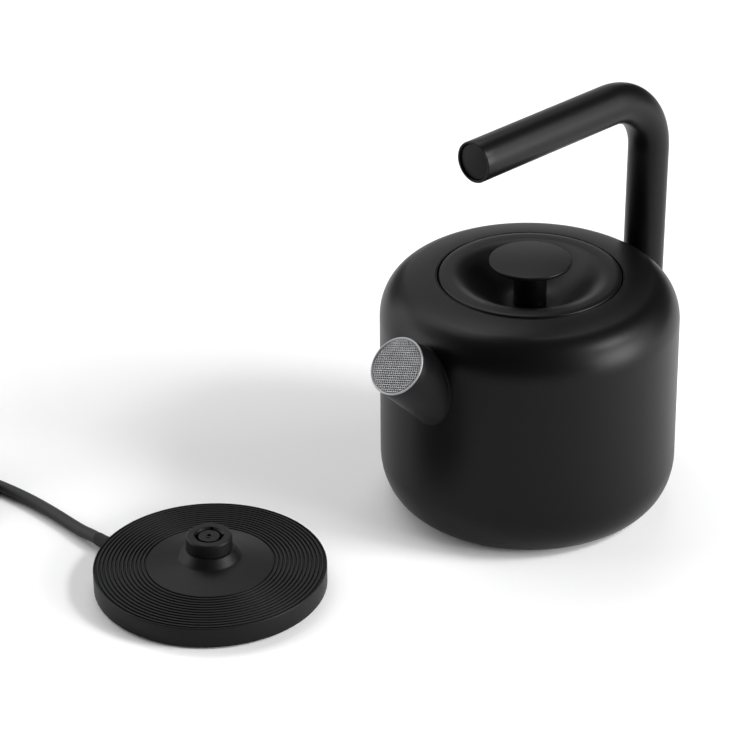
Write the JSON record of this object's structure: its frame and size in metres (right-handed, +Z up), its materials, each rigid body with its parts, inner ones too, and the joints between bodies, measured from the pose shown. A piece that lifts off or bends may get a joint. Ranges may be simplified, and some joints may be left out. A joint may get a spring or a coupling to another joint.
{
  "type": "electric kettle",
  "caption": "Cordless electric kettle with drum body, short mesh spout, angled tube handle and lift-off knob lid, standing beside its round grooved power base with cord and plug.",
  "frame": {"origin": "on the floor, in the middle of the footprint of the kettle and its power base together, without the cord", "axes": "+Z up; +X from the spout to the handle, the longest side; +Y from the kettle towards the power base's cord outlet, the shortest side"},
  "size_m": [0.5127, 0.398, 0.2505],
  "materials": {
    "powder_coat": "matte black powder coat on steel",
    "bright_steel": "bare stainless steel",
    "base_plastic": "black moulded plastic, satin",
    "inner_plastic": "heat-proof off-white plastic, hidden",
    "cord_rubber": "matte black cable sheath",
    "foot_rubber": "black soft rubber",
    "silicone": "grey silicone",
    "brass": "plain",
    "aluminium": "cast"
  },
  "bodies": {
    "power_base": {"base_top_cover": "base_plastic", "connector_barrel": "base_plastic", "connector_core": "base_plastic", "contact_ring": "brass", "contact_pin": "brass", "base_pan": "base_plastic", "base_foot_1": "foot_rubber", "base_foot_2": "foot_rubber", "base_foot_3": "foot_rubber", "base_screw_1": "bright_steel", "base_screw_2": "bright_steel", "base_screw_3": "bright_steel", "strain_relief": "cord_rubber", "mains_cord": "cord_rubber", "cord_coil": "cord_rubber", "cord_tie": "cord_rubber", "plug_lead": "cord_rubber", "plug_body": "cord_rubber", "plug_pin_1": "bright_steel", "plug_pin_2": "bright_steel", "earth_clip_1": "bright_steel", "earth_clip_2": "bright_steel"},
    "kettle": {"body_shell": "powder_coat", "seat_ring": "powder_coat", "spout_tube": "powder_coat", "spout_rim": "bright_steel", "spout_mesh": "bright_steel", "handle_tube": "powder_coat", "handle_end_cap": "powder_coat", "handle_foot_cap": "powder_coat", "heater_plate": "bright_steel", "heating_element": "aluminium", "element_pin_1": "brass", "element_pin_2": "brass", "steam_tube": "bright_steel", "control_module": "inner_plastic", "bimetal_disc": "brass", "kettle_socket": "base_plastic", "socket_blade": "brass", "socket_pin": "brass", "bottom_cover": "base_plastic", "bottom_screw_1": "bright_steel", "bottom_screw_2": "bright_steel", "bottom_screw_3": "bright_steel", "kettle_foot_1": "foot_rubber", "kettle_foot_2": "foot_rubber", "kettle_foot_3": "foot_rubber", "lever_bracket": "inner_plastic", "lever_pin": "bright_steel"},
    "lid": {"lid_dish": "powder_coat", "lid_pan": "bright_steel", "lid_gasket": "silicone", "knob_stem": "powder_coat", "knob_disc": "powder_coat", "knob_screw": "bright_steel"},
    "power_lever": {"power_lever": "base_plastic"}
  },
  "joints": [
    {"name": "kettle_lift", "type": "slide", "parent": "power_base", "child": "kettle", "axis": [0, 0, 1], "range_m": [0, 0.12]},
    {"name": "lid_lift", "type": "slide", "parent": "kettle", "child": "lid", "axis": [0, 0, 1], "range_m": [0, 0.055]},
    {"name": "power_switch", "type": "hinge", "parent": "kettle", "child": "power_lever", "pos_m": [0.15404, -0.01749, 0.027], "axis": [0, 1, 0], "range_deg": [0, 8], "stiffness_Nm_per_rad": 0.15, "springref_deg": -3.44}
  ]
}
